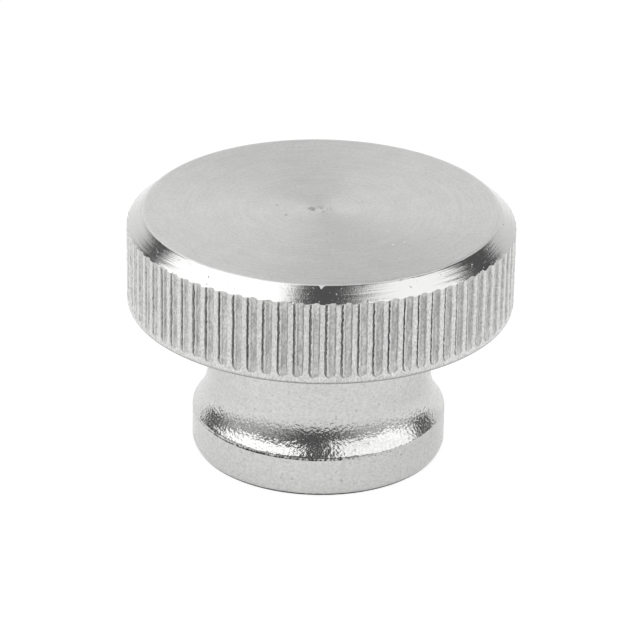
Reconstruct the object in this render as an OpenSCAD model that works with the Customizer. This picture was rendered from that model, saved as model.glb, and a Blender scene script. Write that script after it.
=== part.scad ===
// High knurled nut with a closed top, turned from one piece of stainless bar.
// A wide flat head is gripped by its straight knurl. Below it a waisted neck
// flares out to a short collar, and the threaded hole opens in the collar's foot.
// Millimetres. The foot stands on z = 0 and the thread's axis is the Z axis.

/* [Overall] */
// Height from the foot to the top face
total_h = 19.75; // [18:0.25:26]

/* [Head] */
// Diameter over the lands of the knurl
head_d = 30; // [27:0.5:36]
// Height of the head, from its lower face to the top face
head_h = 7.7; // [6.5:0.1:9]
// Width of the polished chamfer round the top face, measured along the radius
chamfer_w = 1.25; // [0.8:0.05:1.6]
// Height of that chamfer
chamfer_h = 1.05; // [0.8:0.05:1.4]
// Radius that breaks the head's lower outer edge
head_break_r = 0.45; // [0.2:0.05:0.6]
// Radius of the shallow centre mark that facing leaves in the top
centre_mark_r = 0.3; // [0.2:0.05:0.6]
// Depth of the centre mark
centre_mark_depth = 0.08; // [0.04:0.02:0.2]

/* [Knurl] */
// Nominal pitch of the straight knurl, rounded to whole teeth round the head
knurl_pitch = 1.2; // [1:0.1:1.6]
// Width of the plain land left between two grooves
land_w = 0.37; // [0.3:0.01:0.5]
// Depth of a groove below the lands
groove_depth = 0.16; // [0.12:0.02:0.3]
// Lean of a groove's walls, in degrees from square to the land
groove_lean = 25; // [10:5:35]
// Plain band between the head's lower face and the rounded ends of the grooves
plain_band_h = 0.75; // [0.65:0.05:1.2]
// Turn of the whole knurl about the axis, in degrees from a groove at the very front
knurl_turn = -1.6; // [-3:0.1:3]

/* [Neck] */
// Diameter of the neck
neck_d = 17.5; // [16:0.25:19]
// Radius of the sweep that carries the neck out to the collar
neck_sweep_r = 4.6; // [3.5:0.1:5.5]
// Small radius left by the tool where the neck meets the head
neck_root_r = 0.5; // [0.3:0.1:0.8]

/* [Collar] */
// Diameter of the collar
collar_d = 19.8; // [19.5:0.1:22]
// Height of the collar, from the foot to its upper edge
collar_h = 3.3; // [2.5:0.05:4]
// Width of the bevel round the foot, measured along the radius
foot_bevel_w = 0.3; // [0.2:0.05:0.5]
// Height of that bevel
foot_bevel_h = 0.6; // [0.3:0.05:0.8]

/* [Threaded hole] */
// Nominal diameter of the thread
thread_d = 8; // [6:1:10]
// Pitch of the thread
thread_pitch = 1.25; // [1:0.25:1.5]
// Depth of the hole at full diameter
hole_depth = 13; // [10:0.5:14]
// Included angle of the drill point at the bottom of the hole, in degrees
drill_point = 118; // [90:2:140]
// Width by which the entry countersink clears the thread, along the radius
entry_clear = 0.3; // [0.1:0.05:0.6]

/* [Hidden] */

// Clearance by which a cutter passes beyond the face that it opens
over = 0.5;
// Facets of a full circle as drawn; the true form is a circle
$fn = 96;

head_r = head_d / 2;
head_z = total_h - head_h;
neck_r = neck_d / 2;
collar_r = collar_d / 2;
top_face_r = head_r - chamfer_w;

// The sweep is tangent to the neck and reaches the collar's upper edge
sweep_angle = acos(1 - (collar_r - neck_r) / neck_sweep_r);
sweep_z = collar_h + neck_sweep_r * sin(sweep_angle);

// The knurl has a whole number of grooves
groove_n = round(PI * head_d / knurl_pitch);
groove_w = PI * head_d / groove_n - land_w;
groove_floor_w = groove_w - 2 * groove_depth * tan(groove_lean);
groove_floor_r = head_r - groove_depth;
// Centre of the rounded end, set so that the end stops above the plain band
groove_end_z = head_z + plain_band_h + groove_w / 2;

// The hole is left at the size that is drilled before tapping
tap_drill_r = (thread_d - thread_pitch) / 2;
point_h = tap_drill_r / tan(drill_point / 2);
entry_r = thread_d / 2 + entry_clear;

// Half of the section: the stepped outline, its sweep and root added, its corner broken
module turned_outline() {
    difference() {
        polygon([
            [0, 0],
            [collar_r - foot_bevel_w, 0],
            [collar_r, foot_bevel_h],
            [collar_r, collar_h],
            [neck_r, collar_h],
            [neck_r, head_z],
            [head_r, head_z],
            [head_r, total_h - chamfer_h],
            [top_face_r, total_h],
            [0, total_h]
        ]);
        corner_break();
    }
    neck_sweep();
    neck_root();
}

// Concave sweep that stands on the collar and runs up into the neck
module neck_sweep() {
    difference() {
        translate([neck_r - over, collar_h])
            square([collar_r - neck_r + over, sweep_z - collar_h]);
        translate([neck_r + neck_sweep_r, sweep_z]) circle(r = neck_sweep_r);
    }
}

// Area between the head's square lower edge and the arc that breaks it
module corner_break() {
    difference() {
        translate([head_r - head_break_r, head_z - over])
            square([head_break_r + over, head_break_r + over]);
        translate([head_r - head_break_r, head_z + head_break_r])
            circle(r = head_break_r);
    }
}

// Fillet in the corner between the neck and the head's lower face
module neck_root() {
    difference() {
        translate([neck_r - over, head_z - neck_root_r])
            square([neck_root_r + over, neck_root_r + over]);
        translate([neck_r + neck_root_r, head_z - neck_root_r])
            circle(r = neck_root_r);
    }
}

// Solid of revolution of the whole nut before it is knurled and drilled
module turned_body() {
    rotate_extrude() turned_outline();
}

// Section of one groove across its length, x across and y outwards
module groove_section() {
    reach = over * tan(groove_lean);
    polygon([
        [-groove_floor_w / 2, 0],
        [groove_floor_w / 2, 0],
        [groove_w / 2 + reach, groove_depth + over],
        [-groove_w / 2 - reach, groove_depth + over]
    ]);
}

// Half of the same section, spun to make the groove's rounded end
module groove_half_section() {
    intersection() {
        groove_section();
        square([groove_w + over, groove_depth + over]);
    }
}

// One groove lying on the front of the head, open upwards through the chamfer
module groove() {
    translate([0, -groove_floor_r, groove_end_z]) {
        rotate([0, 0, 180])
            linear_extrude(height = total_h - groove_end_z + over) groove_section();
        rotate([90, 0, 0]) rotate_extrude() groove_half_section();
    }
}

// The straight knurl: equal grooves round the head, turned together
module knurl() {
    for (i = [0 : groove_n - 1]) {
        rotate([0, 0, knurl_turn + i * 360 / groove_n]) groove();
    }
}

// Blind hole at tapping size, with its drill point and its entry countersink
module threaded_hole() {
    translate([0, 0, -over]) cylinder(r = tap_drill_r, h = hole_depth + over);
    translate([0, 0, hole_depth]) cylinder(r1 = tap_drill_r, r2 = 0, h = point_h);
    translate([0, 0, -over])
        cylinder(r1 = entry_r + over, r2 = tap_drill_r, h = entry_r - tap_drill_r + over);
}

// Shallow cone left at the middle of the top face
module centre_mark() {
    slope = centre_mark_r / centre_mark_depth;
    translate([0, 0, total_h - centre_mark_depth])
        cylinder(r1 = 0, r2 = centre_mark_r + over * slope, h = centre_mark_depth + over);
}

module knurled_nut() {
    color([0.78, 0.78, 0.77])
        difference() {
            turned_body();
            knurl();
            threaded_hole();
            centre_mark();
        }
}

knurled_nut();
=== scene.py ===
"""Looks of a high knurled nut with a closed top, turned from one piece of stainless bar.

The whole nut is one closed mesh of rings, each computed as numpy arrays: the faced top with its
centre mark, the polished chamfer, the straight knurl, the neck with its sweep, the collar and the
tapped hole. Lengths are in millimetres until the mesh is made, and metres after that.
"""

import enum
import functools
import logging
import math
from dataclasses import dataclass, field
from typing import Any, Callable

import bpy
import mathutils
import numpy as np
from bpy.types import ID, Material, Mesh, Node, NodeSocket, NodeTree, Object, World
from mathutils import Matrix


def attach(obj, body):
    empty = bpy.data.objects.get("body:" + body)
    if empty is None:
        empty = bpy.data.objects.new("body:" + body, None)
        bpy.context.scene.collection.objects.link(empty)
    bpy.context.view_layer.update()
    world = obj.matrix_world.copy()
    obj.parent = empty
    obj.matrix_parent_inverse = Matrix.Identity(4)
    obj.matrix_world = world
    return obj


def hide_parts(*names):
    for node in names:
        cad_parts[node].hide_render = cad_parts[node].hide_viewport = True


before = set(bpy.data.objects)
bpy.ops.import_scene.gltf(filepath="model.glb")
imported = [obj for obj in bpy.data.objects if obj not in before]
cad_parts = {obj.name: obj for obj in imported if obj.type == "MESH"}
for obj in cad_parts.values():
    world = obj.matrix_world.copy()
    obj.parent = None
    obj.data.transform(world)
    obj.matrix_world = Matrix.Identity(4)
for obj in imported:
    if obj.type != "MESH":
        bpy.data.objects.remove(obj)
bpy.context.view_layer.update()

LOG = logging.getLogger("knurled_nut")
MM = 0.001
NODE = "knurled_nut"
SEED = 79
SHARP_ANGLE = math.radians(32)
WHITE = "#ffffff"
BLACK = "#000000"

# Settings of nodes that are used again and again
TIMES = {"operation": "MULTIPLY"}
PLUS = {"operation": "ADD"}
TIMES_PLUS = {"operation": "MULTIPLY_ADD"}
SCALED = {"operation": "SCALE"}
LENGTH = {"operation": "LENGTH"}
DISTANCE = {"operation": "DISTANCE"}
TOWARD = {"operation": "DOT_PRODUCT"}
COLOURS = {"data_type": "RGBA"}
SMOOTH = {"interpolation_type": "SMOOTHSTEP"}

# Factor that leaves the height out of a place
LEVEL = (1.0, 1.0, 0.0)

Array = np.ndarray
Floats = tuple[float, ...]
Pairs = tuple[tuple[float, float], ...]
Triple = tuple[float, float, float]
Inputs = dict[str | int, Any]
Adder = Callable[..., Node]


# Helpers for colours, nodes and objects


def linear(hex_colour: str) -> tuple[float, float, float, float]:
    """Turns an sRGB hex colour into linear light.

    Args:
        hex_colour: Colour such as "#cbcbca".

    Returns:
        Red, green, blue and an alpha of 1.
    """
    srgb = [int(hex_colour[i : i + 2], 16) / 255 for i in (1, 3, 5)]
    red, green, blue = (c / 12.92 if c <= 0.04045 else ((c + 0.055) / 1.055) ** 2.4 for c in srgb)
    return red, green, blue, 1.0


def add_node(
    tree: NodeTree,
    kind: str,
    settings: dict[str, Any] | None = None,
    inputs: Inputs | None = None,
) -> Node:
    """Adds a shader node with its settings and inputs.

    Args:
        tree: Tree that takes the node.
        kind: Blender's name for the node's type, without the ShaderNode that starts it.
        settings: Properties of the node.
        inputs: Input name or number to a value, or to the socket that is linked to it. A node
            stands for its first output.

    Returns:
        The new node.
    """
    node = tree.nodes.new("ShaderNode" + kind)
    for name, value in (settings or {}).items():
        setattr(node, name, value)
    for name, value in (inputs or {}).items():
        if isinstance(value, Node):
            value = value.outputs[0]
        if isinstance(value, NodeSocket):
            tree.links.new(value, node.inputs[name])
        else:
            node.inputs[name].default_value = value
    return node


def start_tree(owner: Material | World) -> Adder:
    """Turns on the nodes of a material or a world, and clears them.

    Args:
        owner: The material or the world.

    Returns:
        add_node for its tree.
    """
    owner.use_nodes = True
    owner.node_tree.nodes.clear()
    return functools.partial(add_node, owner.node_tree)


def new_object(name: str, data: ID) -> Object:
    """Makes an object and links it to the scene.

    Args:
        name: Name of the object.
        data: Its mesh, lamp or camera.

    Returns:
        The new object.
    """
    made = bpy.data.objects.new(name, data)
    bpy.context.scene.collection.objects.link(made)
    return made


@dataclass(frozen=True)
class Span:
    """A range of a value, from start to end, and the range that it is mapped to, from low to high."""

    start: float
    end: float
    low: float = 0.0
    high: float = 1.0

    def of(self, value: Node | NodeSocket) -> Inputs:
        """The inputs of a map range node for a value."""
        ends = {"From Min": self.start, "From Max": self.end, "To Min": self.low, "To Max": self.high}
        return {"Value": value} | ends


# Sizes


class Zone(enum.IntEnum):
    """Finish of a band of the nut, and its place in the list of materials."""

    FACED = 0
    POLISHED = 1
    KNURLED = 2
    SATIN = 3
    TAPPED = 4


@dataclass(frozen=True)
class NutSizes:
    """Sizes of the turned nut, in millimetres, as the solid has them."""

    total_h: float = 19.75
    head_r: float = 15.0
    head_h: float = 7.7
    chamfer_w: float = 1.25
    chamfer_h: float = 1.05
    head_break_r: float = 0.45
    neck_r: float = 8.75
    neck_sweep_r: float = 4.6
    neck_root_r: float = 0.5
    collar_r: float = 9.9
    collar_h: float = 3.3
    foot_bevel_w: float = 0.3
    foot_bevel_h: float = 0.6
    edge_break: float = 0.035
    mark_r: float = 0.3
    mark_depth: float = 0.03
    collar_edge_r: float = 0.5
    # The line of painted shade under the collar's edge: where it is darkest, how far below the edge it fades,
    # its darkness and the least share of that.
    line_at: float = math.radians(-115)
    line_h: float = 0.08
    line_dark: float = 0.9
    line_least: float = 0.3
    bevel_power: float = 1.5

    @property
    def head_z(self) -> float:
        """Height of the head's lower face."""
        return self.total_h - self.head_h

    @property
    def top_face_r(self) -> float:
        """Radius at which the top face and the chamfer would meet, were the edge not broken."""
        return self.head_r - self.chamfer_w

    @property
    def chamfer_slope(self) -> float:
        """Fall of the chamfer for each millimetre outwards."""
        return self.chamfer_h / self.chamfer_w

    @property
    def sweep_angle(self) -> float:
        """Angle of the neck's sweep from its tangent on the neck to the collar's edge."""
        return math.acos(1 - (self.collar_r - self.neck_r) / self.neck_sweep_r)

    @property
    def sweep_end(self) -> float:
        """Angle at which the sweep gives way to the collar's rounded edge.

        The rounding starts where its own radius, laid along the sweep's normal, is inside the edge.
        """
        reach = self.collar_edge_r * math.tan(self.sweep_angle / 2)
        return self.sweep_angle - reach / self.neck_sweep_r

    @property
    def collar_edge_z(self) -> float:
        """Height at which the collar's rounded edge meets the collar's side."""
        return self.collar_h - self.collar_edge_r * math.tan(self.sweep_angle / 2)

    @property
    def sweep_z(self) -> float:
        """Height at which the sweep leaves the neck."""
        return self.collar_h + self.neck_sweep_r * math.sin(self.sweep_angle)

    def chamfer_z(self, radius: Array) -> Array:
        """Height of the chamfer's cone at each radius."""
        return self.total_h - (radius - self.top_face_r) * self.chamfer_slope


@dataclass(frozen=True)
class Nick:
    """A small nick in the top's edge: where it is in degrees, its half width and its reach in mm.

    With a reach above 0 the face's edge is turned out over the chamfer, below 0 it is cut back.
    """

    at: float
    half_width: float
    reach: float

    def shift(self, angle: Array, radius: float) -> Array:
        """How far the edge moves out at each angle: a triangle as wide as the nick."""
        away = np.abs(np.mod(angle - math.radians(self.at) + math.pi, 2 * math.pi) - math.pi) * radius
        return self.reach * np.clip(1 - away / self.half_width, 0, 1)


NICKS = (Nick(-89.8, 0.16, 0.26), Nick(-64.6, 0.16, -0.16), Nick(-77.6, 0.5, -0.09), Nick(-116.0, 0.3, -0.05))


def nick_shift(angle: Array, radius: float) -> Array:
    """How far all nicks together move the top's edge out, at each angle."""
    return sum(nick.shift(angle, radius) for nick in NICKS)


@dataclass(frozen=True)
class ThreadSizes:
    """Sizes of the tapped hole, in millimetres. crest_flat and root_flat are shares of the pitch."""

    minor_r: float = 3.32
    major_r: float = 4.0
    pitch: float = 1.25
    drill_r: float = 3.375
    depth: float = 13.0
    threaded: float = 11.2
    point_half_angle: float = math.radians(59)
    entry_r: float = 4.3
    entry_flat: float = 0.02
    rows_a_turn: int = 10
    crest_flat: float = 0.25
    root_flat: float = 0.125

    @property
    def tip_z(self) -> float:
        """Height of the drill point's tip."""
        return self.depth + self.drill_r / math.tan(self.point_half_angle)


@dataclass(frozen=True)
class Stray:
    """A smooth random stray: its greatest size, and the distance between its random values."""

    size: float
    step: float

    def curves(self, rng: np.random.Generator, count: int, at: Array) -> Array:
        """Draws curves through random values one step apart, joined by smooth steps.

        Args:
            rng: Source of random numbers.
            count: Number of curves.
            at: Places along each curve, from 0 up.

        Returns:
            One curve a row, from -size to size.
        """
        knots = rng.uniform(-1, 1, (count, int(np.ceil(at.max() / self.step)) + 2))
        low = np.floor(at / self.step).astype(int)
        part = at / self.step - low
        part = part * part * (3 - 2 * part)
        return self.size * (knots[:, low] * (1 - part) + knots[:, low + 1] * part)


@dataclass(frozen=True)
class KnurlSizes:
    """Sizes of the straight knurl, in millimetres, and its section as shares of them.

    Each tooth is a plain land and, to its right, a groove. land_at runs across the land from 0
    to 1 and groove_at across the groove. land_sink and groove_sink are the depth there as a share
    of depth: a land with raised edges, a narrow crease, a ledge, and a hollow floor with its wall.
    The two tables after groove_sink say how much each column of the groove is darkened with painted shade,
    most in the crease, and how much it has of the floor's finish.

    A groove starts end_share deep at its rounded lower end. It is low_share deep where its
    straight part starts, top_share deep at the chamfer, and full from fade_h inside both.
    crease_filled is how far the crease has come up to the ledge in the last rows at the chamfer.
    """

    teeth: int = 79
    land_w: float = 0.37
    depth: float = 0.16
    plain_band_h: float = 0.62
    first_angle: float = math.radians(-89.9)
    land_at: Floats = (0.0, 0.15, 0.85)
    land_sink: Floats = (0.0, 0.05, 0.05)
    groove_at: Floats = (0.0, 0.05, 0.085, 0.17, 0.215, 0.31, 0.41, 0.46, 0.62, 0.8, 0.9, 0.95)
    groove_sink: Floats = (0.0, 0.7, 1.4, 1.45, 0.5, 0.42, 0.62, 0.93, 1.05, 1.0, 0.88, 0.5)
    # Painted shade for each groove column: deepest in the crease, faint on the ledge, the floor's start and
    # its far wall.
    crease: Floats = (0.0, 0.0, 0.7, 1.0, 0.1, 0.0, 0.2, 0.1, 0.0, 0.0, 0.3, 0.3)
    # How much of the floor's finish each groove column has: a grey of painted shade and more roughness.
    floor: Floats = (0.0, 0.0, 0.0, 0.0, 0.0, 0.1, 0.5, 1.0, 1.0, 1.0, 0.7, 0.0)
    floor_gain: float = 1.15
    ledge: float = 0.5
    ledge_columns: tuple[int, ...] = (3, 4, 5)
    crease_filled: Floats = (0.4, 0.8, 1.0)
    below_ends: Floats = (0.12, 0.01)
    below_width: float = 0.25
    end_angles: Floats = (25.0, 40.0, 54.0, 66.0, 78.0, 90.0)
    end_share: float = 0.25
    low_share: float = 0.7
    top_share: float = 0.62
    fade_h: float = 1.3
    long_rows: int = 40
    top_rise: Floats = (0.96, 0.98, 0.992, 1.0)
    lift_power: int = 3
    chamfer_shares: Floats = (0.0, 0.2, 0.4, 0.65, 0.88)
    chamfer_swell: float = 0.01

    @property
    def columns(self) -> int:
        """Number of points across one tooth."""
        return len(self.land_at) + len(self.groove_at)

    @property
    def rise(self) -> Array:
        """Places of the rows along the straight part of a groove, from its end up to the chamfer."""
        even = np.linspace(0, self.top_rise[0], self.long_rows + 1)[1:-1]
        return np.concatenate([even, self.top_rise])


@dataclass(frozen=True)
class KnurlWear:
    """How the grooves differ from tooth to tooth, as plain numbers, and along each, as strays.

    end, drift, tear, left, right and chip are lengths in millimetres: the height of a groove's
    end, the groove's middle, its torn edges, each edge by itself and the chips at the chamfer.
    width and depth are shares of the groove's own, and the floor's finish, a grey of painted shade with more
    roughness, runs from 0 to 1.
    """

    end: float = 0.05
    drift: Stray = Stray(0.012, 2.0)
    width: float = 0.05
    tear: Stray = Stray(0.034, 0.1)
    right_tear: float = 0.7
    left: Stray = Stray(0.01, 0.4)
    right: Stray = Stray(0.015, 0.3)
    depth: float = 0.12
    depth_along: Stray = Stray(0.08, 0.6)
    chip: float = 0.025
    floor: float = 0.85
    floor_spread: float = 0.25
    floor_along: Stray = Stray(0.2, 1.0)


# The mesh: rings from the middle of the top to the bottom of the hole


@dataclass
class Ring:
    """One closed ring of points, in millimetres, and what its points carry.

    zone is the finish of the band that ends at this ring.
    """

    zone: Zone
    angle: Array
    radius: Array
    height: Array
    crease: Array
    floor: Array

    @property
    def count(self) -> int:
        """Number of points."""
        return len(self.angle)

    def points(self) -> Array:
        """Returns the ring's points, n by 3."""
        x, y = self.radius * np.cos(self.angle), self.radius * np.sin(self.angle)
        return np.stack([x, y, self.height], axis=1)


def band(first: int, n_first: int, second: int, n_second: int) -> Array:
    """Joins two rings by one row of faces.

    Where both have as many points, each face has four corners. Where one has several times as
    many, each face takes one edge of the coarse ring and the edges of the fine one across it.

    Args:
        first: Number of the first ring's first point.
        n_first: Points in the first ring.
        second: Number of the second ring's first point.
        n_second: Points in the second ring.

    Returns:
        Corner numbers, one face a row.
    """
    cells = min(n_first, n_second)
    near, far = n_first // cells, n_second // cells
    cell = np.arange(cells)[:, None]
    down = first + (cell * near + np.arange(near, -1, -1)) % n_first
    out = second + (cell * far + np.arange(far + 1)) % n_second
    return np.concatenate([out, down], axis=1)


@dataclass
class RingSurface:
    """Closed surface of rings, with a point at each end."""

    rings: list[Ring] = field(default_factory=list)

    def add(
        self,
        zone: Zone,
        angle: Array,
        radius: float | Array,
        height: float | Array,
        crease: float | Array = 0.0,
        floor: float | Array = 0.0,
    ) -> None:
        """Adds a ring; a number stands for the whole ring."""
        wide = [np.broadcast_to(np.asarray(v, float), angle.shape) for v in (radius, height, crease, floor)]
        self.rings.append(Ring(zone, angle, *wide))

    def mesh(self, name: str, top_z: float, end_z: float) -> Mesh:
        """Makes the mesh, in metres.

        Args:
            name: Name of the mesh.
            top_z: Height of the point that closes the first ring, in millimetres.
            end_z: Height of the point that closes the last ring, in millimetres.

        Returns:
            The mesh, with its finishes numbered and its attributes set.
        """
        counts = [ring.count for ring in self.rings]
        starts = np.concatenate([[0], np.cumsum(counts)])
        poles = starts[-1], starts[-1] + 1
        tips = np.array([[0.0, 0.0, top_z], [0.0, 0.0, end_z]])
        points = np.concatenate([ring.points() for ring in self.rings] + [tips])
        step = np.arange(counts[0])
        fans = [np.stack([np.full(counts[0], poles[0]), step, (step + 1) % counts[0]], axis=1)]
        zones = [np.full(counts[0], self.rings[0].zone)]
        for i, ring in enumerate(self.rings[1:]):
            corners = band(starts[i], counts[i], starts[i + 1], counts[i + 1])
            fans.append(corners)
            zones.append(np.full(len(corners), ring.zone))
        step, last = np.arange(counts[-1]), starts[len(counts) - 1]
        tip = np.full(counts[-1], poles[1])
        fans.append(np.stack([last + step, tip, last + (step + 1) % counts[-1]], axis=1))
        zones.append(np.full(counts[-1], self.rings[-1].zone))

        mesh = bpy.data.meshes.new(name)
        corners = np.concatenate([f.ravel() for f in fans]).astype(np.int32)
        sides = np.concatenate([np.full(len(f), f.shape[1]) for f in fans])
        mesh.vertices.add(len(points))
        mesh.vertices.foreach_set("co", (points * MM).ravel())
        mesh.loops.add(len(corners))
        mesh.loops.foreach_set("vertex_index", corners)
        mesh.polygons.add(len(sides))
        mesh.polygons.foreach_set("loop_start", np.concatenate([[0], np.cumsum(sides)[:-1]]).astype(np.int32))
        mesh.polygons.foreach_set("material_index", np.concatenate(zones).astype(np.int32))
        mesh.polygons.foreach_set("use_smooth", np.ones(len(sides), bool))
        for key in ("crease", "floor"):
            values = np.concatenate([getattr(ring, key) for ring in self.rings] + [np.zeros(2)])
            mesh.attributes.new(key, "FLOAT", "POINT").data.foreach_set("value", values.astype(np.float32))
        mesh.update(calc_edges=True)
        return mesh


@dataclass
class Knurl:
    """The straight knurl as a grid of rows and columns.

    A row is a height and a column a place across a tooth. Towards the lower end the groove's
    two edges close in on a half circle, and every column between them closes in with them.
    """

    nut: NutSizes
    sizes: KnurlSizes
    wear: KnurlWear
    rng: np.random.Generator

    @property
    def pitch(self) -> float:
        """Length of one tooth round the head."""
        return 2 * math.pi * self.nut.head_r / self.sizes.teeth

    def even_angles(self) -> Array:
        """Angles of the columns on an even ring, in radians."""
        s = self.sizes
        land = s.land_w / self.pitch
        across = np.concatenate([np.array(s.land_at) * land, land + np.array(s.groove_at) * (1 - land)])
        turns = (np.arange(s.teeth)[:, None] + across[None]) / s.teeth
        return s.first_angle + 2 * math.pi * turns.ravel()

    def each_tooth(self, size: float) -> Array:
        """One random number for each tooth, from -size to size, as a column."""
        return size * self.rng.uniform(-1, 1, (self.sizes.teeth, 1))

    def add_to(self, surface: RingSurface) -> None:
        """Adds the knurl's rings, from the chamfer down to the plain band.

        Args:
            surface: Surface that takes the rings.
        """
        n, s, w = self.nut, self.sizes, self.wear
        groove_w = self.pitch - s.land_w
        straight_top = n.total_h - n.chamfer_h
        end_z = n.head_z + s.plain_band_h + self.each_tooth(w.end)

        # Rows of one tooth, from the plain band up: height, share of the groove's width, of its depth
        ends = np.radians(s.end_angles)
        rise = s.rise
        straight_z = end_z + groove_w / 2
        below_z = end_z - np.array(s.below_ends)
        round_z = straight_z - groove_w / 2 * np.cos(ends)
        rows_z = np.concatenate([below_z, round_z, straight_z + (straight_top - straight_z) * rise], axis=1)
        below = len(s.below_ends)
        width = np.concatenate([np.full(below, s.below_width), np.sin(ends), np.ones(len(rise))])
        fade = s.fade_h / (straight_top - n.head_z)
        starting = s.low_share + (1 - s.low_share) * np.clip(rise / fade, 0, 1)
        ending = 1 - (1 - s.top_share) * np.clip(1 - (1 - rise) / fade, 0, 1) ** 2
        rounding = np.linspace(s.end_share, s.low_share, len(ends))
        deep = np.concatenate([np.zeros(below), rounding, np.minimum(starting, ending)])
        rows = rows_z.shape[1]
        along = np.linspace(0, straight_top - n.head_z, rows)

        def stray(kind: Stray) -> Array:
            """Strays along the grooves, one row a tooth."""
            return kind.curves(self.rng, s.teeth, along)

        def across(start: Array, end: Array, shares: Array) -> Array:
            """Values at some shares of the way from start to end, as a last axis."""
            return start[..., None] + (end - start)[..., None] * shares

        # Edges of each groove across the pitch, which wander a little along it and are ragged
        middle = s.land_w + groove_w / 2 + stray(w.drift)
        half = groove_w / 2 * (1 + self.each_tooth(w.width))
        tear_left, tear_right, tear_ledge = (stray(w.tear) for _ in range(3))
        left = middle - half * width + stray(w.left) + tear_left
        right = middle + half * width + stray(w.right) + w.right_tear * tear_right
        before = np.roll(right, 1, axis=0) - self.pitch
        before_z = np.roll(rows_z, 1, axis=0)
        land_at, groove_at = np.array(s.land_at), np.array(s.groove_at)
        place = np.concatenate([across(before, left, land_at), across(left, right, groove_at)], axis=2)
        level = across(before_z, rows_z, land_at), across(rows_z, rows_z, groove_at)
        height = np.concatenate(level, axis=2)
        lands = len(land_at)
        place[..., lands + np.array(s.ledge_columns)] += (tear_ledge * width)[..., None]

        # Depth below the lands' edges, with a floor that varies from tooth to tooth and along it
        vary = 1 + self.each_tooth(w.depth) + stray(w.depth_along)
        chips = w.chip * self.rng.random((s.teeth, s.columns))
        groove_sink = np.array(s.groove_sink)
        filled = np.concatenate([np.zeros(rows - len(s.crease_filled)), s.crease_filled])[:, None]
        section = groove_sink * (1 - filled) + np.minimum(groove_sink, s.ledge) * filled
        section = np.where(np.array(s.floor) > 0, groove_sink, section)
        sink = np.zeros_like(place)
        sink[..., :lands] = s.depth * np.array(s.land_sink) * width[None, :, None]
        sink[..., lands:] = s.depth * section[None] * (vary * deep)[..., None]
        radius = n.head_r - np.maximum(0, sink)
        radius[:, -1] -= chips

        # The top rows follow the chamfer's cone, where a groove cuts further up than a land
        lift = (n.head_r - radius[:, -1:, :]) * n.chamfer_slope
        share = np.concatenate([np.zeros(rows - len(rise)), rise])[None, :, None]
        height = height + lift * share**s.lift_power

        # Painted shade: how dark each column's crease is, and how much floor finish it has (grey painted
        # shade and more roughness), varying from tooth to tooth and along the groove.
        floor_amount = np.clip(w.floor + self.each_tooth(w.floor_spread) + stray(w.floor_along), 0, 1)
        pressed = floor_amount * np.clip(s.floor_gain * deep, 0, 1) ** 3
        crease, floor = np.zeros_like(place), np.zeros_like(place)
        crease[..., lands:] = np.array(s.crease) * deep[None, :, None]
        floor[..., lands:] = np.array(s.floor) * pressed[..., None]
        angle = s.first_angle + (np.arange(s.teeth)[:, None, None] * self.pitch + place) / n.head_r

        self.add_chamfer(surface, angle[:, -1].ravel(), radius[:, -1].ravel())
        grids = angle, radius, height, crease, floor
        for row in range(rows - 2, -1, -1):
            surface.add(Zone.KNURLED, *(grid[:, row].ravel() for grid in grids))

    def add_chamfer(self, surface: RingSurface, low_angle: Array, low_radius: Array) -> None:
        """Adds the chamfer, from its nicked upper edge down to the knurl's scalloped top.

        Args:
            surface: Surface that takes the rings.
            low_angle: Angles of the points of the knurl's top.
            low_radius: Their radii.
        """
        n, s = self.nut, self.sizes
        even = self.even_angles()
        upper_r = n.top_face_r + n.edge_break
        nicked = upper_r + np.maximum(0, nick_shift(even, n.head_r))
        for share in s.chamfer_shares:
            r = np.maximum(nicked, upper_r + (low_radius - upper_r) * share) + s.chamfer_swell * share
            # The first band is faced steel under full painted highlight: a bright line at the top's edge.
            zone, light = (Zone.POLISHED, 0.0) if share else (Zone.FACED, 1.0)
            surface.add(zone, even + (low_angle - even) * share, r, n.chamfer_z(r), light)
        surface.add(Zone.POLISHED, low_angle, low_radius, n.chamfer_z(low_radius))


@dataclass(frozen=True)
class RingPlan:
    """Where the plain bands of the nut have their rings.

    Of every coarser points of a fine ring, a coarser ring takes one. mark, neck and collar are
    shares of the band. top_few and top_some are radii on the top face, beside_edge and beside_root
    are distances on the head's lower face, all in millimetres, and root and sweep are numbers of
    rings. head_break, in degrees, and collar_edge and foot_bevel, in shares, pair each place with
    how much painted shade darkens the metal there; top_edge is how much painted highlight lightens the edge.
    """

    coarser: int = 5
    mark: Floats = (0.4, 1.0)
    top_few: Floats = (0.7, 1.6)
    top_some: Floats = (3.0, 6.0, 9.0, 12.0, 13.5)
    top_edge: float = 0.6
    head_break: Pairs = ((0.0, 0.0), (22.0, 0.3), (42.0, 1.0), (62.0, 1.0), (90.0, 1.0))
    beside_edge: float = 0.4
    beside_root: float = 1.0
    root: int = 6
    neck: Floats = (0.33, 0.66)
    sweep: int = 20
    collar_edge: Pairs = ((0.75, 0.0), (0.5, 0.2), (0.25, 0.85), (0.0, 1.0))
    collar: Floats = (0.33, 0.66, 1.0)
    foot_bevel: Pairs = ((0.45, 0.0), (0.66, 0.0), (0.76, 1.0), (1.0, 1.0))


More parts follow.
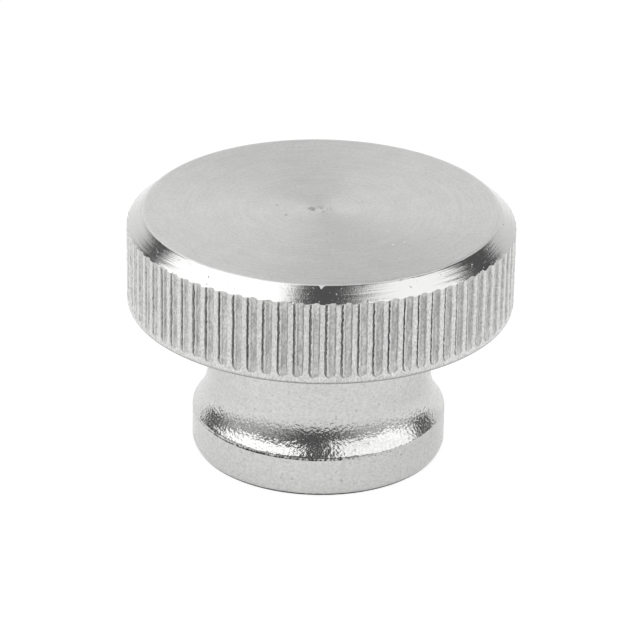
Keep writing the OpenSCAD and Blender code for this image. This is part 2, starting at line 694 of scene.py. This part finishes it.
@dataclass
class KnurledNut:
    """The nut: one closed mesh for the one turned piece."""

    nut: NutSizes = NutSizes()
    knurl: KnurlSizes = KnurlSizes()
    wear: KnurlWear = KnurlWear()
    thread: ThreadSizes = ThreadSizes()
    plan: RingPlan = RingPlan()

    def build(self) -> Object:
        """Builds the mesh and its object.

        Returns:
            The nut's object, at the origin.
        """
        surface = RingSurface()
        knurl = Knurl(self.nut, self.knurl, self.wear, np.random.default_rng(SEED))
        fine = knurl.even_angles()
        some, few = fine[:: self.plan.coarser], fine[:: self.knurl.columns]
        self.add_top(surface, fine, some, few)
        knurl.add_to(surface)
        self.add_head_foot(surface, fine, some)
        self.add_stem(surface, some)
        self.add_hole(surface, few)
        mesh = surface.mesh(NODE, self.nut.total_h - self.nut.mark_depth, self.thread.tip_z)
        mesh.set_sharp_from_angle(angle=SHARP_ANGLE)
        return new_object("nut_dressed", mesh)

    def add_top(self, surface: RingSurface, fine: Array, some: Array, few: Array) -> None:
        """Adds the faced top: a shallow cone at the middle, then a flat out to a broken edge that carries a
        painted highlight.
        """
        n = self.nut
        for share in self.plan.mark:
            surface.add(Zone.FACED, few, n.mark_r * share, n.total_h - n.mark_depth * (1 - share))
        for around, radii in ((few, self.plan.top_few), (some, self.plan.top_some)):
            for r in radii:
                surface.add(Zone.FACED, around, r, n.total_h)
        cut = np.minimum(0, nick_shift(fine, n.head_r))
        # The outer ring carries part of the painted highlight of the top's edge.
        surface.add(Zone.FACED, fine, n.top_face_r - n.edge_break + cut, n.total_h, self.plan.top_edge)

    def add_head_foot(self, surface: RingSurface, fine: Array, some: Array) -> None:
        """Adds the head's broken lower edge, a quarter circle darkened towards its lower part with painted
        shade, and its lower face.
        """
        n = self.nut
        middle_r, middle_z = n.head_r - n.head_break_r, n.head_z + n.head_break_r
        # Painted shade darkens the break towards the head's lower face, drawing a dark line along the head's
        # lower edge.
        for degrees, dark in self.plan.head_break:
            a = math.radians(degrees)
            r, z = middle_r + n.head_break_r * math.cos(a), middle_z - n.head_break_r * math.sin(a)
            surface.add(Zone.KNURLED, fine, r, z, dark)
        surface.add(Zone.SATIN, some, middle_r - self.plan.beside_edge, n.head_z)

    def add_stem(self, surface: RingSurface, around: Array) -> None:
        """Adds the root fillet, the neck, its sweep, the collar and the foot.

        The root, the sweep and the collar's edge are arcs: centre plus radius times cosine and
        sine of an angle.
        """
        n, plan = self.nut, self.plan
        ring = functools.partial(surface.add, Zone.SATIN, around)
        root_r, root_z = n.neck_r + n.neck_root_r, n.head_z - n.neck_root_r
        ring(root_r + plan.beside_root, n.head_z)
        for degrees in np.linspace(90, 180, plan.root):
            a = math.radians(degrees)
            ring(root_r + n.neck_root_r * math.cos(a), root_z + n.neck_root_r * math.sin(a))
        for share in plan.neck:
            ring(n.neck_r, root_z + (n.sweep_z - root_z) * share)
        sweep_r = n.neck_r + n.neck_sweep_r
        for a in np.linspace(0, n.sweep_end, plan.sweep):
            ring(sweep_r - n.neck_sweep_r * math.cos(a), n.sweep_z - n.neck_sweep_r * math.sin(a))

        # A painted shade line under the collar's edge, deepest on one side and gone on the other
        facing = np.clip(np.cos(around - n.line_at), 0, 1) ** 2
        line = n.line_dark * (n.line_least + (1 - n.line_least) * facing)
        for share, dark in plan.collar_edge:
            a = n.sweep_angle * share
            r = n.collar_r - n.collar_edge_r * (1 - math.cos(a))
            ring(r, n.collar_edge_z + n.collar_edge_r * math.sin(a), line * dark)
        line_z = n.collar_edge_z - n.line_h
        ring(n.collar_r, line_z)
        for share in plan.collar:
            ring(n.collar_r, line_z + (n.foot_bevel_h - line_z) * share)
        # Painted shade: a dark line along the foot's bevel, where it meets the table.
        for share, dark in plan.foot_bevel:
            r = n.collar_r - n.foot_bevel_w * share**n.bevel_power
            ring(r, n.foot_bevel_h * (1 - share), dark)

    def add_hole(self, surface: RingSurface, around: Array) -> None:
        """Adds the foot's face, the countersink and the thread, up to the drill point.

        The thread's radius is a function of angle and height: how far the height has climbed
        past the angle's share of a turn gives a place in the pitch, and the radius falls from
        root to crest along straight flanks on both sides of it.
        """
        t = self.thread
        surface.add(Zone.SATIN, around, t.entry_r + t.entry_flat, 0.0)
        rows = int(t.depth / t.pitch * t.rows_a_turn)
        for z in np.linspace(0.0, t.depth, rows):
            place = np.mod(z / t.pitch - around / (2 * math.pi), 1.0)
            off = np.abs(place - 0.5) * 2
            rise = np.clip((1 - t.crest_flat - off) / (1 - t.crest_flat - t.root_flat), 0, 1)
            full = np.clip((t.threaded - z) / t.pitch, 0, 1)
            crest_r = t.drill_r + (t.minor_r - t.drill_r) * full
            radius = crest_r + (t.major_r - crest_r) * rise * full
            surface.add(Zone.TAPPED, around, np.maximum(radius, t.entry_r - z), z)

    def dress(self, piece: Object) -> None:
        """Gives each zone its finish, in the order of Zone."""
        for finish in (FacedSteel(), PolishedSteel(), KnurledSteel(), SatinSteel(), TappedSteel()):
            piece.data.materials.append(finish.material())


# Finishes


def millimetres(add: Adder) -> Node:
    """Adds the place on the nut, in millimetres.

    Args:
        add: Adds a node to the tree.

    Returns:
        The node that gives the place.
    """
    inputs = {"Vector": add("TexCoord").outputs["Object"], "Scale": (1 / MM, 1 / MM, 1 / MM)}
    return add("Mapping", {"vector_type": "POINT"}, inputs)


def ring_noise(add: Adder, flat: Node, size: float, along: float, roughness: float = 0.5) -> Node:
    """Adds noise in rings about the axis.

    Args:
        add: Adds a node to the tree.
        flat: Place on the nut with its height left out, in millimetres.
        size: Size of the noise along the radius, in millimetres.
        along: How fast it changes round the axis, as a share of that.
        roughness: Share that the finer noise has in it.

    Returns:
        The noise.
    """
    far = add("VectorMath", LENGTH, {0: flat}).outputs["Value"]
    slow = add("VectorMath", SCALED, {0: flat, "Scale": along})
    inputs = {"Vector": slow, "W": far, "Scale": 1 / size, "Detail": 2.0, "Roughness": roughness}
    return add("TexNoise", {"noise_dimensions": "4D"}, inputs)


@dataclass(frozen=True)
class Steel:
    """Bare austenitic stainless steel: a neutral grey metal that mirrors about 0.6 of the light."""

    name: str = "stainless_steel"
    colour: str = "#cbcbca"
    roughness: float = 0.2
    anisotropy: float = 0.0

    def material(self) -> Material:
        """Makes the material.

        Returns:
            The new material.
        """
        made = bpy.data.materials.new(self.name)
        add = start_tree(made)
        metal = {"Base Color": linear(self.colour), "Metallic": 1.0, "Roughness": self.roughness}
        plain = metal | {"Anisotropic": self.anisotropy}
        shader = add("BsdfPrincipled", inputs=plain | self.detail(add))
        add("OutputMaterial", inputs={"Surface": shader})
        return made

    def detail(self, add: Adder) -> Inputs:
        """Adds what the finish has beyond plain steel.

        Args:
            add: Adds a node to the material's tree.

        Returns:
            The shader's inputs that it sets.
        """
        return {}


@dataclass(frozen=True)
class FacedSteel(Steel):
    """Face-turned stainless steel: fine concentric feed marks, which fan the light out radially.

    scuffs and specks are a place on the top and a radius, in millimetres; the scuffs are dark marks, the
    specks painted glints.
    """

    name: str = "face_turned_stainless_steel"
    colour: str = "#dbdbda"
    roughness: float = 0.3
    burr_roughness: float = 0.65
    anisotropy: float = 0.5
    quarter_turn: float = 0.25
    feed_mm: float = 0.2
    feed_along: float = 0.05
    feed_roughness: float = 0.6
    feed_tone: Span = Span(0.35, 0.65, 0.972, 1.028)
    feed_bump: float = 0.0055
    band_mm: float = 1.2
    band_share: float = 4.0
    grain_mm: float = 0.25
    cloud_mm: float = 1.6
    cloud_share: float = 0.4
    tone: Span = Span(0.5, 0.9, 0.93, 1.07)
    scuffed: Span = Span(1.4, 1.6, 1.0, 0.45)
    scuff_pull: float = 0.45
    scuffs: tuple[Triple, ...] = (
        (-0.72, 0.0, 0.75), (0.64, 0.0, 0.65), (0.1, -0.45, 0.4),
        (-2.77, -1.17, 0.4), (-3.41, 0.63, 0.3), (3.18, 1.53, 0.3),
    )
    specks: tuple[Triple, ...] = ((5.41, -6.34, 0.14), (6.3, -5.81, 0.11), (5.02, -3.88, 0.09))

    def detail(self, add: Adder) -> Inputs:
        """Adds the feed marks, noise that changes with the distance from the middle, the scuffs, painted
        glints for the specks and a painted highlight along the edge.
        """
        mm = millimetres(add)
        flat = add("VectorMath", TIMES, {0: mm, 1: LEVEL})
        sizes = self.feed_mm, self.band_mm
        feed, bands = (ring_noise(add, flat, size, self.feed_along, self.feed_roughness) for size in sizes)
        both = add("Math", TIMES_PLUS, {0: bands, 1: self.band_share, 2: feed})
        bump = add("Bump", inputs={"Height": both, "Distance": self.feed_bump * MM})
        around = add("Tangent", {"direction_type": "RADIAL", "axis": "Z"})
        grain = add("TexNoise", inputs={"Vector": mm, "Scale": 1 / self.grain_mm, "Detail": 3.0})
        cloud = add("TexNoise", inputs={"Vector": mm, "Scale": 1 / self.cloud_mm, "Detail": 2.0})
        mixed = add("Math", TIMES_PLUS, {0: cloud, 1: self.cloud_share, 2: grain})
        tone = add("MapRange", inputs=self.tone.of(mixed))
        torn = add("Math", PLUS, {0: feed, 1: grain})
        for x, y, size in self.scuffs:
            off = add("VectorMath", DISTANCE, {0: flat, 1: (x, y, 0.0)}).outputs["Value"]
            near = add("MapRange", SMOOTH, Span(size, size / 3, 0.0, self.scuff_pull).of(off))
            torn = add("Math", PLUS, {0: near, 1: torn})
        scuff = add("MapRange", inputs=self.scuffed.of(torn))
        shade = add("Math", TIMES, {0: tone, 1: scuff})
        fed = add("MapRange", inputs=self.feed_tone.of(feed))
        lined = add("Math", TIMES, {0: shade, 1: fed})
        skin = add("VectorMath", SCALED, {0: linear(self.colour)[:3], "Scale": lined}).outputs[0]
        # Painted glints: small white spots on the face.
        for x, y, size in self.specks:
            off = add("VectorMath", DISTANCE, {0: flat, 1: (x, y, 0.0)}).outputs["Value"]
            spot = add("MapRange", inputs=Span(size, size / 2).of(off))
            skin = add("Mix", COLOURS, {0: spot, 6: skin, 7: linear(WHITE)}).outputs[2]
        # Painted highlight: the top's edge and the chamfer's first band are mixed towards white, and made
        # rougher.
        edge_highlight = add("Attribute", {"attribute_name": "crease"}).outputs["Fac"]
        lit = add("Mix", COLOURS, {0: edge_highlight, 6: skin, 7: linear(WHITE)})
        rough = add("MapRange", inputs=Span(0.0, 1.0, self.roughness, self.burr_roughness).of(edge_highlight))
        brushed = {"Tangent": around, "Anisotropic Rotation": self.quarter_turn}
        return {"Base Color": lit.outputs[2], "Roughness": rough, "Normal": bump} | brushed


@dataclass(frozen=True)
class PolishedSteel(Steel):
    """Form-tool polished stainless steel: nearly a mirror, with fine lines round the chamfer."""

    name: str = "bright_turned_stainless_steel"
    roughness: float = 0.12
    dusted: Span = Span(0.79, 0.83, 0.12, 0.8)
    line_mm: float = 0.16
    line_along: float = 0.025
    line_bump: float = 0.045
    grain_mm: float = 0.1
    grain_share: float = 0.17
    dust_mm: float = 0.2

    def detail(self, add: Adder) -> Inputs:
        """Adds the lines: noise drawn out some 40 times round the axis, fine across the slope."""
        mm = millimetres(add)
        flat = add("VectorMath", TIMES, {0: mm, 1: LEVEL})
        lines = ring_noise(add, flat, self.line_mm, self.line_along)
        grain = add("TexNoise", inputs={"Vector": mm, "Scale": 1 / self.grain_mm, "Detail": 2.0})
        dust = add("TexNoise", inputs={"Vector": mm, "Scale": 1 / self.dust_mm, "Detail": 0.0})
        dull = add("MapRange", inputs=self.dusted.of(dust))
        both = add("Math", TIMES_PLUS, {0: grain, 1: self.grain_share, 2: lines})
        bump = add("Bump", inputs={"Height": both, "Distance": self.line_bump * MM})
        return {"Roughness": dull, "Normal": bump}


@dataclass(frozen=True)
class KnurledSteel(Steel):
    """Knurled stainless steel: smooth lands, coarser pressed floors greyed with painted shade, and creases
    darkened with painted shade.

    grain_drawn and streaks_drawn are factors on the place: below 1 they draw the noise out.
    """

    name: str = "rolled_knurl_stainless_steel"
    colour: str = "#d8d8d7"
    roughness: float = 0.3
    floor_roughness: float = 0.55
    floor_shade_colour: str = "#b9b9b8"
    crease_shade_colour: str = "#868686"
    grain_mm: float = 0.14
    grain_tone: Span = Span(0.25, 0.75, 0.66, 1.34)
    grain_bump: float = 0.07
    grain_drawn: Triple = (1.0, 1.0, 0.6)
    streaks_drawn: Triple = (1.0, 1.0, 0.12)
    streaks_scale: float = 0.8
    patches: Span = Span(0.35, 0.6, 0.3, 1.1)

    def detail(self, add: Adder) -> Inputs:
        """Greys the floors with painted shade and roughens them, paints shade into the creases and along the
        head's lower edge, and adds a torn grain with fine pits.
        """
        mm = millimetres(add)
        floor, crease = (
            add("Attribute", {"attribute_name": key}).outputs["Fac"] for key in ("floor", "crease")
        )
        drawn = add("VectorMath", TIMES, {0: mm, 1: self.grain_drawn})
        torn = {"Vector": drawn, "Scale": 1 / self.grain_mm, "Detail": 3.0, "Roughness": 0.65}
        grain = add("TexNoise", inputs=torn)
        streaked = add("VectorMath", TIMES, {0: mm, 1: self.streaks_drawn})
        streaks = {"Vector": streaked, "Scale": self.streaks_scale / self.grain_mm, "Detail": 3.0}
        patchy = add("MapRange", inputs=self.patches.of(add("TexNoise", inputs=streaks)))
        dull = add("Math", TIMES, {0: floor, 1: patchy})
        rough = add("MapRange", inputs=Span(0.0, 1.0, self.roughness, self.floor_roughness).of(dull))
        skin = linear(self.colour)
        # Painted shade: the floors are greyed, and the creases and the head's lower edge are darkened.
        for share, shade in ((dull, self.floor_shade_colour), (crease, self.crease_shade_colour)):
            skin = add("Mix", COLOURS, {0: share, 6: skin, 7: linear(shade)}).outputs[2]
        pits = add("MapRange", inputs=self.grain_tone.of(grain))
        colour = add("VectorMath", SCALED, {0: skin, "Scale": pits})
        bump = add("Bump", inputs={"Height": grain, "Distance": self.grain_bump * MM})
        return {"Base Color": colour, "Roughness": rough, "Normal": bump}


@dataclass(frozen=True)
class SatinSteel(Steel):
    """Tumbled stainless steel: a satin skin with a fine orange peel drawn out round the neck."""

    name: str = "satin_stainless_steel"
    roughness: float = 0.15
    peel_mm: float = 0.24
    peel_depth: float = 0.037
    peel_drawn: Triple = (1.0, 1.0, 1.15)
    peel_tone: Span = Span(0.3, 0.7, 0.91, 1.09)
    pit_mm: float = 0.3
    pit_tone: Span = Span(0.68, 0.76, 1.0, 0.7)
    shade_line_colour: str = "#303030"
    line_torn: float = 1.6
    line_edge: Span = Span(1.25, 1.7)

    def detail(self, add: Adder) -> Inputs:
        """Adds the orange peel, scattered dull pits and a ragged line of painted shade at the collar's edge
        and along the foot's bevel.
        """
        mm = millimetres(add)
        crease = add("Attribute", {"attribute_name": "crease"}).outputs["Fac"]
        drawn = add("VectorMath", TIMES, {0: mm, 1: self.peel_drawn})
        skin = {"Vector": drawn, "Scale": 1 / self.peel_mm, "Detail": 1.6, "Roughness": 0.5}
        peel = add("TexNoise", inputs=skin)
        pits = add("TexNoise", inputs={"Vector": mm, "Scale": 1 / self.pit_mm, "Detail": 1.0})
        pitted = add("MapRange", inputs=self.pit_tone.of(pits))
        mottled = add("MapRange", inputs=self.peel_tone.of(peel))
        # Painted shade: a ragged dark line where the mesh's painted-shade attribute marks the collar's edge
        # and the foot's bevel.
        torn = add("Math", TIMES_PLUS, {0: peel, 1: self.line_torn, 2: crease})
        line = add("MapRange", inputs=self.line_edge.of(torn))
        shade = add("Math", TIMES, {0: pitted, 1: mottled})
        plain = add("VectorMath", SCALED, {0: linear(self.colour)[:3], "Scale": shade})
        colour = add("Mix", COLOURS, {0: line, 6: plain, 7: linear(self.shade_line_colour)})
        bump = add("Bump", inputs={"Height": peel, "Distance": self.peel_depth * MM})
        return {"Base Color": colour.outputs[2], "Normal": bump}


@dataclass(frozen=True)
class TappedSteel(Steel):
    """Tapped stainless steel: cut flanks, a little duller than the outside."""

    name: str = "tapped_stainless_steel"
    roughness: float = 0.35


# Studio and camera


@dataclass(frozen=True)
class Softbox:
    """A flat lamp overhead: its corners as shares of its height, turned about the origin by degrees."""

    name: str
    low: tuple[float, float]
    high: tuple[float, float]
    radiance: float
    turn: float = 0.0
    height: float = 1.0

    def hang(self) -> None:
        """Hangs the lamp, facing down."""
        wide, deep = ((b - a) * self.height for a, b in zip(self.low, self.high))
        data = bpy.data.lights.new(self.name, "AREA")
        data.shape = "RECTANGLE"
        data.size, data.size_y = wide, deep
        data.energy = self.radiance * math.pi * wide * deep
        middle = mathutils.Vector(((a + b) / 2 * self.height for a, b in zip(self.low, self.high)))
        middle.rotate(mathutils.Matrix.Rotation(math.radians(self.turn), 2))
        lamp = new_object(self.name, data)
        lamp.location = (*middle, self.height)
        lamp.rotation_euler.z = math.radians(self.turn)


SOFTBOXES = (
    Softbox("softbox_left", (-2.4, -1.57), (-0.12, 0.42), 1.65, -12.0),
    Softbox("softbox_back", (-0.34, 0.5), (-0.15, 1.15), 2.0),
    Softbox("softbox_right_edge", (0.2, -2.0), (0.28, 0.37), 0.45, 3.0),
    Softbox("softbox_right_rim", (0.28, -2.0), (0.38, 0.37), 1.0, 3.0),
    Softbox("softbox_right", (0.38, -2.2), (4.6, 0.31), 1.38, 3.0),
)


@dataclass(frozen=True)
class Studio:
    """A white table and a white backdrop behind it, softboxes overhead and a dim room.

    wall_side, wall_high, fade_low and fade_high are shares of wall_y, the backdrop's distance.
    around, contact and front are spans of distance in metres: how the table's glow changes
    away from the nut, and how the glow that the metal sees is dimmed as painted shade, a contact shadow at
    the collar and a darker stretch to the front.
    side_light is how the room brightens to both sides, away from the back, and low down.
    """

    table_r: float = 2.0
    table_corners: int = 96
    wall_y: float = 1.2
    wall_side: float = 1.6
    wall_high: float = 0.7
    fade_low: float = 0.42
    fade_high: float = 0.74
    fade_tilt: float = 0.12
    faded: float = 0.1
    contact: Span = Span(0.0098, 0.0108, 0.95, 1.0)
    front: Span = Span(0.012, 0.05, 1.0, 0.58)
    around: Span = Span(0.03, 0.12)
    near_glow: float = 0.86
    near_pale: str = "#8a8a8a"
    table_glow: float = 0.455
    wall_glow: float = 0.36
    pale: str = "#dadada"
    drop: float = 0.01 * MM
    room: str = "#606060"
    room_sides: str = "#c8c8c8"
    side_light: tuple[Span, Span, Span] = (Span(0.15, 0.8), Span(0.3, 0.0), Span(0.42, 0.2))

    def white_material(self, name: str, glow: float) -> Material:
        """Makes a pale matt surface that shows white to the camera and in the metal.

        Most of what the camera sees of it is its own even glow, and the rest is lit by the
        softboxes, so that the nut's shadow stays. The metal sees more of the lit part, and a glow dimmed
        with painted shade at the nut's foot and to the front. Above fade_low times the backdrop's
        distance its reflection fades out.

        Args:
            name: Name of the material.
            glow: Strength of the glow that the metal sees.

        Returns:
            The new material.
        """
        made = bpy.data.materials.new(name)
        add = start_tree(made)
        seen = add("LightPath").outputs["Is Camera Ray"]
        where = add("TexCoord").outputs["Object"]
        high, before = (
            add("VectorMath", TOWARD, {0: where, 1: way}).outputs["Value"]
            for way in ((-self.fade_tilt, 0.0, 1.0), (0.0, -1.0, 0.0))
        )
        flat = add("VectorMath", TIMES, {0: where, 1: LEVEL})
        away = add("VectorMath", LENGTH, {0: flat}).outputs["Value"]
        fading = Span(self.fade_low * self.wall_y, self.fade_high * self.wall_y, glow, self.faded)
        pairs = (self.around, away), (fading, high), (self.contact, away), (self.front, before)
        far, fade, under, front = (add("MapRange", SMOOTH, span.of(value)) for span, value in pairs)
        # Painted shade in the table's glow as the metal sees it: a contact shadow at the nut's foot, and
        # darker to the front.
        below = add("Math", TIMES, {0: front, 1: under})
        mirrored = add("Math", TIMES, {0: fade, 1: below})
        white = add("MapRange", inputs=Span(0.0, 1.0, self.near_glow).of(far))
        shade = add("Mix", COLOURS, {0: far, 6: linear(self.near_pale), 7: linear(BLACK)})
        glows = add("Mix", {"data_type": "FLOAT"}, {0: seen, 2: mirrored, 3: white})
        light = add("Emission", inputs={"Color": linear(WHITE), "Strength": glows})
        pale = add("Mix", COLOURS, {0: seen, 6: linear(self.pale), 7: shade.outputs[2]})
        matt = add("BsdfDiffuse", inputs={"Color": pale.outputs[2]})
        both = add("AddShader", inputs={0: light, 1: matt})
        add("OutputMaterial", inputs={"Surface": both})
        return made

    def sheet(self, name: str, glow: float, corners: list[Triple]) -> None:
        """Makes a flat stage piece from its corners."""
        mesh = bpy.data.meshes.new(name)
        mesh.from_pydata(corners, [], [tuple(range(len(corners)))])
        mesh.materials.append(self.white_material(name + "_white", glow))
        new_object(name, mesh)

    def world(self) -> World:
        """Makes the dim room, which the camera sees as white.

        Returns:
            The new world.
        """
        world = bpy.data.worlds.new("dim_room")
        add = start_tree(world)
        seen = add("LightPath").outputs["Is Camera Ray"]
        where = add("TexCoord").outputs["Generated"]
        toward = add("SeparateXYZ", inputs={0: where}).outputs
        side = add("Math", {"operation": "ABSOLUTE"}, {0: toward["X"]})
        low = 1.0
        for value, span in zip((side, toward["Y"], toward["Z"]), self.side_light):
            reach = add("MapRange", SMOOTH, span.of(value))
            low = add("Math", TIMES, {0: low, 1: reach})
        dim = add("Mix", COLOURS, {0: low, 6: linear(self.room), 7: linear(self.room_sides)})
        colour = add("Mix", COLOURS, {0: seen, 6: dim.outputs[2], 7: linear(WHITE)})
        back = add("Background", inputs={"Color": colour.outputs[2], "Strength": 1.0})
        add("OutputWorld", inputs={"Surface": back})
        return world

    def build(self) -> None:
        """Builds the table, the wall, the lamps and the world."""
        turn = np.linspace(0, 2 * math.pi, self.table_corners + 1)[:-1]
        rim = zip((self.table_r * np.cos(turn)).tolist(), (self.table_r * np.sin(turn)).tolist())
        self.sheet("table", self.table_glow, [(x, y, -self.drop) for x, y in rim])
        side, top = self.wall_side * self.wall_y, self.wall_high * self.wall_y
        corners = ((-side, -self.drop), (-side, top), (side, top), (side, -self.drop))
        self.sheet("backdrop", self.wall_glow, [(x, self.wall_y, z) for x, z in corners])
        for box in SOFTBOXES:
            box.hang()
        bpy.context.scene.world = self.world()


@dataclass(frozen=True)
class Camera:
    """A long lens that looks down on the nut from the front."""

    elevation: float = 0.447645
    distance: float = 304.72
    target: Triple = (0.0054, 0.0, 10.299)
    roll: float = 0.0171
    focal_px: float = 3913.9
    image_px: float = 640.0
    sensor: float = 36.0
    clip: tuple[float, float] = (0.01, 20.0)

    def place(self) -> None:
        """Places the camera and makes it the scene's."""
        data = bpy.data.cameras.new("camera")
        data.sensor_width = self.sensor
        data.lens = self.focal_px * self.sensor / self.image_px
        data.clip_start, data.clip_end = self.clip
        camera = new_object("camera", data)
        x, y, z = self.target
        y -= self.distance * math.cos(self.elevation)
        z += self.distance * math.sin(self.elevation)
        camera.location = (x * MM, y * MM, z * MM)
        # A turn about the lens axis first, then the tilt down from level
        tilt = mathutils.Matrix.Rotation(math.pi / 2 - self.elevation, 4, "X")
        roll = mathutils.Matrix.Rotation(self.roll, 4, "Z")
        camera.rotation_euler = (tilt @ roll).to_euler()
        bpy.context.scene.camera = camera


def main() -> None:
    """Builds the nut, the studio and the camera."""
    logging.basicConfig(level=logging.INFO, format="%(name)s: %(message)s")
    Camera().place()
    Studio().build()
    bpy.context.scene.view_settings.view_transform = "Standard"
    nut = KnurledNut()
    piece = nut.build()
    nut.dress(piece)
    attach(piece, "root")
    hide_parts(NODE)
    LOG.info("%s: %d faces", piece.name, len(piece.data.polygons))


if __name__ == "__main__":
    main()
